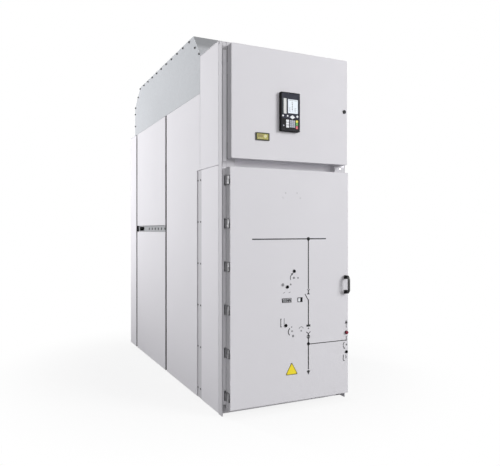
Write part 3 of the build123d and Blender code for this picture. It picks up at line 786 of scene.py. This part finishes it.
def fill_mimic(mesh):
    def line(start, end, width=LINE):
        slab(mesh, lower_front, stroke(start, end, width), INK)

    def dot(centre, radius):
        slab(mesh, lower_front, circle(centre, radius), INK)

    def chevron(tip, half_width, rise):
        for side in (-1, 1):
            line((main_x, tip), (main_x + side * half_width, tip + rise), FINE_LINE)

    line((busbar_left, busbar_z), (busbar_right, busbar_z))
    dot((main_x, busbar_z), 0.013)
    line((main_x, busbar_z), (main_x, upper_contact_z + 0.012))
    chevron(upper_contact_z, 0.009, 0.01)
    line((main_x, upper_contact_z), (main_x, lower_contact_z - 0.012))
    chevron(lower_contact_z, 0.009, -0.012)
    line((main_x + switch_left, switch_top), (main_x, switch_foot), SWITCH_LINE)
    line((main_x, switch_foot + 0.005), (main_x, breaker_z + 0.004))
    line((main_x - 0.016, breaker_z), (main_x + 0.016, breaker_z), 0.015)
    dot((main_x, breaker_z - 0.019), 0.005)
    chevron(socket_z, 0.017, 0.014)
    line((main_x, socket_z + 0.001), (main_x, arrow_top + 0.004))
    band(mesh, lower_front, (main_x, ring_z), 0.011, FINE_LINE, 0, 360, INK)
    dot((main_x, branch_z + 0.002), 0.012)
    barb_z = arrow_top - 0.008
    arrow = [(0, arrow_tip), (0.014, barb_z), (0, arrow_top), (-0.014, barb_z)]
    slab(mesh, lower_front, [(main_x + across, height) for across, height in arrow], INK)
    line((main_x, branch_z), (branch_x, branch_z), FINE_LINE)
    line((branch_x - 0.002, branch_z - 0.006), (branch_x - 0.002, branch_top), FINE_LINE)


piece("mimic_diagram", black_ink, LOWER_DOOR, fill_mimic)


# Turning arrows, brackets and position marks beside the operating openings
def fill_operating_marks(mesh):
    for centre, radius, width, begin, end in (
        ((0.013, 0.907), 0.029, 0.0055, 112, 206),
        ((-0.003, 0.536), 0.029, 0.0065, 125, 232),
        ((0.455, 0.403), 0.026, 0.005, 125, 235),
    ):
        band(mesh, lower_front, centre, radius, width, begin, end, INK)
    for start, end, width in (
        ((-0.092, 0.626), (-0.092, 0.577), 0.006),
        ((-0.0955, 0.628), (-0.0865, 0.628), 0.007),
        ((-0.0955, 0.576), (-0.0855, 0.576), 0.007),
        ((0.43, 0.335), (0.43, 0.29), 0.006),
        ((0.43, 0.29), (0.443, 0.29), 0.004),
        ((0.454, 0.332), (0.454, 0.305), 0.005),
        ((0.456, 0.562), (0.456, 0.528), 0.005),
    ):
        slab(mesh, lower_front, stroke(start, end, width), INK)
    for tip, angle, size in (
        ((0.008, 0.94), 35, 0.018),
        ((0.448, 0.377), -20, 0.014),
        ((0.456, 0.584), 90, 0.026),
    ):
        turn = math.radians(angle)
        way = Vector(polar((0, 0), 1, turn))
        side = way.orthogonal() * size / 2
        back = Vector(tip) - way * size
        slab(mesh, lower_front, [Vector(tip), back + side, back - side], INK)


piece("operating_marks", black_ink, LOWER_DOOR, fill_operating_marks)


def fill_position_marks(mesh):
    slab(mesh, lower_front, stroke((-0.065, 0.633), (-0.065, 0.592), 0.005), INK)
    band(mesh, lower_front, (0.072, 0.545), 0.019, 0.004, 20, 160, INK)
    for centre, radius in (
        ((0.072, 0.536), 0.006),
        ((-0.006, 0.568), 0.005),
        ((-0.002, 0.539), 0.007),
        ((0.046, 0.905), 0.006),
        ((-0.013, 0.862), 0.0065),
        ((0.458, 0.405), 0.007),
        ((0.006, 0.505), 0.0085),
    ):
        slab(mesh, lower_front, circle(centre, radius), INK)
    for across in (-0.067, -0.022):
        dash = stroke((across - 0.007, 0.804), (across + 0.007, 0.81), 0.004)
        slab(mesh, lower_front, dash, INK)


piece("position_marks", grey_ink, LOWER_DOOR, fill_position_marks)


# Plugs in spare openings
def add_plugs(name, material, places, proud):
    """Low domed plugs, from their centres and radii."""

    def build(mesh):
        for centre, radius in places:
            profile = [
                (radius, -SUNK),
                (radius, proud * 0.5),
                (radius * 0.9, proud * 0.85),
                (radius * 0.6, proud),
                (radius * 0.25, proud * 1.02),
            ]
            turned(mesh, lower_front, centre, profile, 24)

    piece(name, material, LOWER_DOOR, build)


SMALL_PLUG = 0.0065
add_plugs(
    "operating_plugs",
    grey_plug,
    [((-0.075, 0.862), 0.011), ((0.013, 0.907), 0.008)],
    0.0025,
)
add_plugs(
    "door_plugs",
    pale_plug,
    [
        (centre, SMALL_PLUG)
        for centre in ((-0.051, 1.492), (0.04, 1.494), (-0.071, 1.459), (0.066, 1.459))
    ],
    0.0015,
)


# Operation counter and position indicator, each behind a small window
def frame_ring(mesh, plane, left, bottom, right, top, width, proud):
    """Four bars with mitred corners."""
    outer = rectangle(left, bottom, right, top)
    inner = rectangle(left + width, bottom + width, right - width, top - width)
    for index in range(4):
        after = (index + 1) % 4
        quad = [outer[index], outer[after], inner[after], inner[index]]
        slab(mesh, plane, quad, proud)


SEGMENTS = {"0": "abcdef", "2": "abged", "4": "fgbc", "7": "abc"}


def digit_strokes(character, left, bottom, width, height):
    """A counter digit as straight strokes between six points."""
    top, middle, right = bottom + height, bottom + height / 2, left + width
    ends = {
        "a": ((left, top), (right, top)),
        "b": ((right, top), (right, middle)),
        "c": ((right, middle), (right, bottom)),
        "d": ((left, bottom), (right, bottom)),
        "e": ((left, middle), (left, bottom)),
        "f": ((left, top), (left, middle)),
        "g": ((left, middle), (right, middle)),
    }
    return [ends[segment] for segment in SEGMENTS[character]]


counter_left, counter_bottom, counter_right, counter_top = -0.082, 0.738, -0.008, 0.769
position_left, position_bottom, position_right, position_top = 0.042, 0.737, 0.082, 0.769
COUNTER_FRAME = 0.003
POSITION_FRAME = 0.004
POSITION_SPLIT = 0.064
FRAME_PROUD = 0.002
DRUM_PITCH = 0.0134
DRUM_WIDTH = 0.0115
COUNT = "00247"
flag_bottom, flag_top = position_bottom + POSITION_FRAME, position_top - POSITION_FRAME


def fill_window_frames(mesh):
    counter = (counter_left, counter_bottom, counter_right, counter_top)
    position = (position_left, position_bottom, position_right, position_top)
    frame_ring(mesh, lower_front, *counter, COUNTER_FRAME, FRAME_PROUD)
    frame_ring(mesh, lower_front, *position, POSITION_FRAME, FRAME_PROUD)
    dark_half = rectangle(POSITION_SPLIT, flag_bottom, position_right, flag_top)
    slab(mesh, lower_front, dark_half, 0.0012)


def fill_drums(mesh):
    for number in range(len(COUNT)):
        left = counter_left + 0.005 + DRUM_PITCH * number
        bottom, top = counter_bottom + 0.006, counter_top - 0.006
        outline = rounded(left, bottom, left + DRUM_WIDTH, top, 0.001, 2)
        slab(mesh, lower_front, outline, 0.001, edge=0.0004)


def fill_digits(mesh):
    for number, character in enumerate(COUNT):
        left = counter_left + 0.0083 + DRUM_PITCH * number
        for start, end in digit_strokes(character, left, counter_bottom + 0.0105, 0.005, 0.013):
            slab(mesh, lower_front, stroke(start, end, 0.0013), 0.0012)


def fill_flag(mesh):
    left = position_left + POSITION_FRAME
    slab(mesh, lower_front, rectangle(left, flag_bottom, POSITION_SPLIT, flag_top), 0.0006)


piece("window_frames", black, LOWER_DOOR, fill_window_frames)
piece("counter_drum", black, LOWER_DOOR, fill_drums)
piece("counter_digits", key_white, LOWER_DOOR, fill_digits)
piece("position_flag", key_white, LOWER_DOOR, fill_flag)

# Plain yellow triangle with a dark rim
SIGN_CENTRE = (-0.0055, 0.268)
SIGN_SIZE = 0.052
SIGN_RIM = 0.009
SIGN_CORNER = 0.006


def triangle(size):
    """Triangle with rounded corners around the sign's centre."""
    outline = []
    for corner in range(3):
        middle = math.radians(90 + 120 * corner)
        tip = polar(SIGN_CENTRE, size - SIGN_CORNER, middle)
        for step in range(5):
            angle = middle + math.radians(-60 + 30 * step)
            outline.append(polar(tip, SIGN_CORNER, angle))
    return outline


for part_name, film, size, thickness in (
    ("rim", olive_ink, SIGN_SIZE, 0.0005),
    ("plate", yellow_film, SIGN_SIZE - SIGN_RIM, 0.0008),
):
    piece(
        f"triangle_{part_name}",
        film,
        LOWER_DOOR,
        lambda mesh, size=size, thickness=thickness: slab(
            mesh, lower_front, triangle(size), thickness
        ),
    )

# Collar of the push button
button_centre = ((button_low.x + button_high.x) / 2, (button_low.z + button_high.z) / 2)
piece(
    "button_collar",
    black,
    LOWER_DOOR,
    lambda mesh: band(mesh, lower_front, button_centre, 0.0125, 0.002, 0, 360, 0.004, 28),
)

# Feet of the handle, swelling around the ends of its bow: height, half width, half length
HANDLE_FOOT_INSET = 0.013
HANDLE_FOOT_CORNER = 0.005
HANDLE_FOOT_RINGS = (
    (0.0045, 0.0125, 0.0128),
    (0.02, 0.0118, 0.0124),
    (0.029, 0.0112, 0.0112),
    (0.033, 0.01, 0.0095),
)
handle_x = (handle_low.x + handle_high.x) / 2


def fill_handle_feet(mesh):
    for height in (handle_low.z + HANDLE_FOOT_INSET, handle_high.z - HANDLE_FOOT_INSET):
        rings = []
        for out, half_x, half_z in HANDLE_FOOT_RINGS:
            left, right = handle_x - half_x, handle_x + half_x
            outline = rounded(left, height - half_z, right, height + half_z, HANDLE_FOOT_CORNER)
            rings.append([(*point, out) for point in outline])
        loft(mesh, lower_front, rings)


piece("handle_feet", black, LOWER_DOOR, fill_handle_feet)

# Foam gaskets on the folded backs of the doors
GASKET_WIDTH = 0.011
GASKET_INSET = 0.0025
HIDDEN_HINGE = 0.15
HINGE_GAP = 0.04


def gasket(name, low, high, depth, body, gaps=()):
    """Four bars; gaps are heights between which the bar on the hinge side is left out."""
    plane = surface_plane((0, high.y, 0), UPRIGHT_TO_REAR)
    left, right = -high.x + GASKET_INSET, -low.x - GASKET_INSET
    bottom, top = low.z + GASKET_INSET, high.z - GASKET_INSET
    inner_bottom, inner_top = bottom + GASKET_WIDTH, top - GASKET_WIDTH
    stops = [inner_bottom, *gaps, inner_top]

    def build(mesh):
        bars = [
            rectangle(left, bottom, right, inner_bottom),
            rectangle(left, inner_top, right, top),
            rectangle(left, inner_bottom, left + GASKET_WIDTH, inner_top),
        ]
        for start, end in zip(stops[::2], stops[1::2]):
            bars.append(rectangle(right - GASKET_WIDTH, start, right, end))
        for bar in bars:
            slab(mesh, plane, bar, depth, 0.0)

    piece(name, gasket_foam, body, build)


gasket("lower_door_gasket", door_low, door_high, 0.0065, LOWER_DOOR)
hinge_gaps = [
    hinge + side * HINGE_GAP
    for hinge in (upper_low.z + HIDDEN_HINGE, upper_high.z - HIDDEN_HINGE)
    for side in (-1, 1)
]
gasket("instrument_door_gasket", upper_low, upper_high, 0.0095, UPPER_DOOR, hinge_gaps)


def housing_front(low, high, recess):
    """The plane of a small housing's front, from its middle, set back by recess."""
    middle = (low + high) / 2
    return surface_plane((middle.x, low.y + recess, middle.z), UPRIGHT_TO_FRONT)


# Front of the protection relay, laid out from its middle as left, bottom, right and top.
# The diamond keys are a centre, half a width and half a height.
RELAY_RIM = 0.0055
KEY_RISE = 0.0022
DISPLAY = (-0.021, -0.009, 0.057, 0.086)
LABEL_STRIP = (-0.055, -0.014, -0.033, 0.09)
KEY_FOIL = (-0.067, -0.126, 0.067, -0.046)
ROUND_KEY_ROW = -0.029
ARROW_KEYS = (0.014, -0.035, 0.021, 0.014)
ENTER_KEY = (0.053, -0.028, 0.009, 0.01)
SIDE_KEYS = [-0.1085 + 0.019 * number for number in range(3)]
NUMBER_KEY_COLUMNS = [-0.006 + 0.0142 * number for number in range(3)]
NUMBER_KEY_ROWS = [-0.105 + 0.0127 * number for number in range(4)]
LAMPS = 14
LAMP_X, LAMP_TOP, LAMP_PITCH = -0.0615, 0.085, 0.0073
relay_front = housing_front(relay_low, relay_high, 0.002)
relay_half_width = (relay_high.x - relay_low.x) / 2 - RELAY_RIM
relay_half_height = (relay_high.z - relay_low.z) / 2 - RELAY_RIM


def relay_piece(name, material, *shapes, edge=0.0):
    """A piece of the relay's front from outlines and their heights."""

    def build(mesh):
        for outline, height in shapes:
            slab(mesh, relay_front, outline, height, edge=edge)

    piece(f"relay_{name}", material, UPPER_DOOR, build)


def keys(name, material, outlines, height=KEY_RISE):
    relay_piece(name, material, *[(outline, height) for outline in outlines], edge=0.0006)


def diamond(across, height, half_width, half_height):
    return [
        (across - half_width, height),
        (across, height - half_height),
        (across + half_width, height),
        (across, height + half_height),
    ]


whole_front = (-relay_half_width, -relay_half_height, relay_half_width, relay_half_height)
relay_piece("foil", panel_slate, (rounded(*whole_front, 0.004), 0.0005))
relay_piece("lower_foil", black, (rounded(*KEY_FOIL, 0.003), 0.0008))
relay_piece("label_strip", label_paper, (rectangle(*LABEL_STRIP), 0.001))
relay_piece("display", screen_white, (rounded(*DISPLAY, 0.002), 0.0012))


def display_lines():
    """A plain single line diagram and two columns of bars, as such displays show."""
    lines = [
        stroke((-0.014, 0.079), (0.05, 0.079), 0.0022),
        stroke((0.013, 0.079), (0.013, 0.0), 0.0012),
        stroke((0.005, 0.064), (0.021, 0.064), 0.0018),
    ]
    for height in (0.052, 0.036, 0.02):
        lines.append(rectangle(0.0095, height - 0.004, 0.0165, height + 0.004))
    for column, width in ((-0.013, 0.014), (0.03, 0.016)):
        for row in range(5):
            height = 0.028 - 0.0065 * row
            end = column + width - 0.003 * (row % 2)
            lines.append(stroke((column, height), (end, height), 0.0016))
    return lines


relay_piece("display_diagram", grey_ink, *[(line, 0.0014) for line in display_lines()])
keys(
    "white_keys",
    key_white,
    [
        circle((-0.06, ROUND_KEY_ROW), 0.0065, 20),
        circle((-0.024, ROUND_KEY_ROW), 0.0065, 20),
        diamond(*ARROW_KEYS),
        diamond(*ENTER_KEY),
        *[rounded(-0.036, bottom, -0.013, bottom + 0.0165, 0.002, 2) for bottom in SIDE_KEYS],
    ],
)
keys(
    "number_keys",
    key_silver,
    [
        rounded(left, bottom, left + 0.0125, bottom + 0.011, 0.0018, 2)
        for left in NUMBER_KEY_COLUMNS
        for bottom in NUMBER_KEY_ROWS
    ],
)
for colour_name, colour_key, bottom, top in (
    ("yellow", key_yellow, -0.069, -0.054),
    ("green", key_green, -0.0905, -0.071),
    ("red", key_red, -0.113, -0.093),
):
    keys(f"{colour_name}_key", colour_key, [rounded(0.041, bottom, 0.058, top, 0.002, 2)])
keys("dark_key", key_silver, [circle((-0.055, -0.096), 0.005, 18)], 0.0018)


def fill_lamps(mesh):
    for number in range(LAMPS):
        centre = (LAMP_X, LAMP_TOP - LAMP_PITCH * number)
        lens = [(0.0022, 0.0003), (0.0022, 0.001), (0.0012, 0.0015)]
        turned(mesh, relay_front, centre, lens, 12)


piece("relay_signal_lamps", led_off, UPPER_DOOR, fill_lamps)

# Front of the voltage indicator, laid out like the relay
INDICATOR_FOIL = (-0.0425, -0.0185, 0.0425, 0.0185)
INDICATOR_DISPLAY = (-0.036, -0.004, 0.001, 0.014)
TEST_SOCKET_ROW = -0.0115
indicator_front = housing_front(indicator_low, indicator_high, 0.0015)


def fill_indicator_sockets(mesh):
    for centre, radius in (
        ((0.02, 0.003), 0.0115),
        ((-0.03, TEST_SOCKET_ROW), 0.0035),
        ((-0.018, TEST_SOCKET_ROW), 0.0035),
        ((-0.006, TEST_SOCKET_ROW), 0.0035),
    ):
        rim = [(radius, 0.0003), (radius, 0.0012)]
        bowl = [(radius * 0.8, 0.0016), (radius * 0.5, 0.0009)]
        turned(mesh, indicator_front, centre, rim + bowl)


piece(
    "indicator_foil",
    indicator_yellow,
    UPPER_DOOR,
    lambda mesh: slab(mesh, indicator_front, rounded(*INDICATOR_FOIL, 0.002), 0.0006),
)
piece(
    "indicator_display",
    indicator_lcd,
    UPPER_DOOR,
    lambda mesh: slab(mesh, indicator_front, rounded(*INDICATOR_DISPLAY, 0.001), 0.0009),
)
piece("indicator_sockets", indicator_pale, UPPER_DOOR, fill_indicator_sockets)


# Screws of the rear walls, plain and evenly spaced
REAR_ROWS = 5
REAR_END_INSET = 0.03
REAR_SIDE_INSET = 0.014


def fill_rear_screws(mesh):
    plane = surface_plane((0, panel_rear, 0), UPRIGHT_TO_REAR)
    for node in ("lower_rear_wall", "upper_rear_wall"):
        low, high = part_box(node)
        pitch = (high.z - low.z - 2 * REAR_END_INSET) / (REAR_ROWS - 1)
        for row in range(REAR_ROWS):
            for side in (-1, 1):
                centre = (side * (high.x - REAR_SIDE_INSET), low.z + REAR_END_INSET + pitch * row)
                pan_screw(mesh, plane, centre, STRIP_SCREW)


piece("rear_wall_screws", dark_bolt, CABINET, fill_rear_screws)


# Stage: floor that fades to the backdrop, lamps and camera
BACKDROP = (1.0, 1.0, 1.0)
FLOOR_SEEN = (0.93, 0.93, 0.935)
FLOOR_BOUNCE = (0.42, 0.42, 0.43)
FLOOR_LIFT = 0.8
FADE_START, FADE_END = 0.8, 2.2
FLOOR_RADIUS = 40.0
WORLD_LIGHT = 0.3
PANEL_MIDDLE = (0, -1.3, 1.2)
HOOD_SIDE = (-0.5, 1.5, 2.5)
EYE = (-1.8813, -4.3227, 1.2402)
EYE_TURN = -24.068


def white_world(strength):
    """Even white light, with a backdrop of full white to the camera and in reflections."""
    world = bpy.data.worlds.new("studio")
    bpy.context.scene.world = world
    world.use_nodes = True
    tree = world.node_tree
    tree.nodes.clear()
    path = add_node(tree, "ShaderNodeLightPath").outputs
    seen = path["Is Camera Ray"]
    for ray in ("Is Glossy Ray", "Is Transmission Ray"):
        either = {0: seen, 1: path[ray]}
        seen = add_node(tree, "ShaderNodeMath", either, operation="MAXIMUM").outputs[0]
    lights = []
    for power in (strength, 1.0):
        inputs = {"Color": (*BACKDROP, 1), "Strength": power}
        lights.append(add_node(tree, "ShaderNodeBackground", inputs).outputs[0])
    inputs = {0: seen, 1: lights[0], 2: lights[1]}
    mixed = add_node(tree, "ShaderNodeMixShader", inputs).outputs[0]
    add_node(tree, "ShaderNodeOutputWorld", {"Surface": mixed})


def pale_floor():
    """A disc whose colour runs into the backdrop with distance, and which keeps the shadow."""
    mesh = bmesh.new()
    bmesh.ops.create_circle(mesh, cap_ends=True, segments=96, radius=FLOOR_RADIUS)
    data = bpy.data.meshes.new("floor")
    mesh.to_mesh(data)
    mesh.free()
    material = bpy.data.materials.new("floor")
    material.use_nodes = True
    tree = material.node_tree
    tree.nodes.clear()

    def mixed(factor, first, second):
        inputs = {0: factor, 1: first, 2: second}
        return add_node(tree, "ShaderNodeMixShader", inputs).outputs[0]

    place = add_node(tree, "ShaderNodeTexCoord").outputs["Object"]
    length = add_node(tree, "ShaderNodeVectorMath", {0: place}, operation="LENGTH")
    reach = {"Value": length.outputs["Value"], "From Min": FADE_START, "From Max": FADE_END}
    fade = add_node(tree, "ShaderNodeMapRange", reach, interpolation_type="SMOOTHSTEP")
    bounce = add_node(tree, "ShaderNodeBsdfDiffuse", {"Color": (*FLOOR_BOUNCE, 1)}).outputs[0]
    near = add_node(tree, "ShaderNodeBsdfDiffuse", {"Color": (*FLOOR_SEEN, 1)}).outputs[0]
    far = add_node(tree, "ShaderNodeEmission", {"Color": (*BACKDROP, 1)}).outputs[0]
    seen = mixed(fade.outputs["Result"], mixed(FLOOR_LIFT, near, far), far)
    camera_ray = add_node(tree, "ShaderNodeLightPath").outputs["Is Camera Ray"]
    add_node(tree, "ShaderNodeOutputMaterial", {"Surface": mixed(camera_ray, bounce, seen)})
    data.materials.append(material)
    floor = bpy.data.objects.new("floor", data)
    bpy.context.scene.collection.objects.link(floor)


def add_lamp(name, kind, place, target, power, **settings):
    light = bpy.data.lights.new(name, kind)
    light.energy = power
    for setting, value in settings.items():
        setattr(light, setting, value)
    lamp = bpy.data.objects.new(name, light)
    lamp.location = place
    lamp.rotation_euler = (Vector(target) - Vector(place)).to_track_quat("-Z", "Y").to_euler()
    bpy.context.scene.collection.objects.link(lamp)
    return lamp


def photo_camera():
    """The photograph's view of the panel, with the lens shift that its framing needs."""
    data = bpy.data.cameras.new("camera")
    data.lens = 36.83
    data.sensor_width = 36.0
    data.shift_x = 0.056
    data.shift_y = -0.007
    camera = bpy.data.objects.new("camera", data)
    camera.location = EYE
    camera.rotation_euler = (math.radians(90), 0, math.radians(EYE_TURN))
    bpy.context.scene.collection.objects.link(camera)
    bpy.context.scene.camera = camera


white_world(WORLD_LIGHT)
pale_floor()
disk = {"shape": "DISK"}
add_lamp("front lamp", "AREA", (8.5, -10.5, 5.4), PANEL_MIDDLE, 1380.0, size=6.5, **disk)
add_lamp("fill lamp", "AREA", (-4.6, -9.6, 1.8), PANEL_MIDDLE, 150.0, size=3.0, **disk)
side_lamp = add_lamp(
    "side lamp",
    "SPOT",
    (-6.0, 13.0, 3.0),
    HOOD_SIDE,
    18700.0,
    spot_size=math.radians(28),
    spot_blend=1.0,
    shadow_soft_size=0.8,
)
side_lamp.visible_glossy = False
photo_camera()
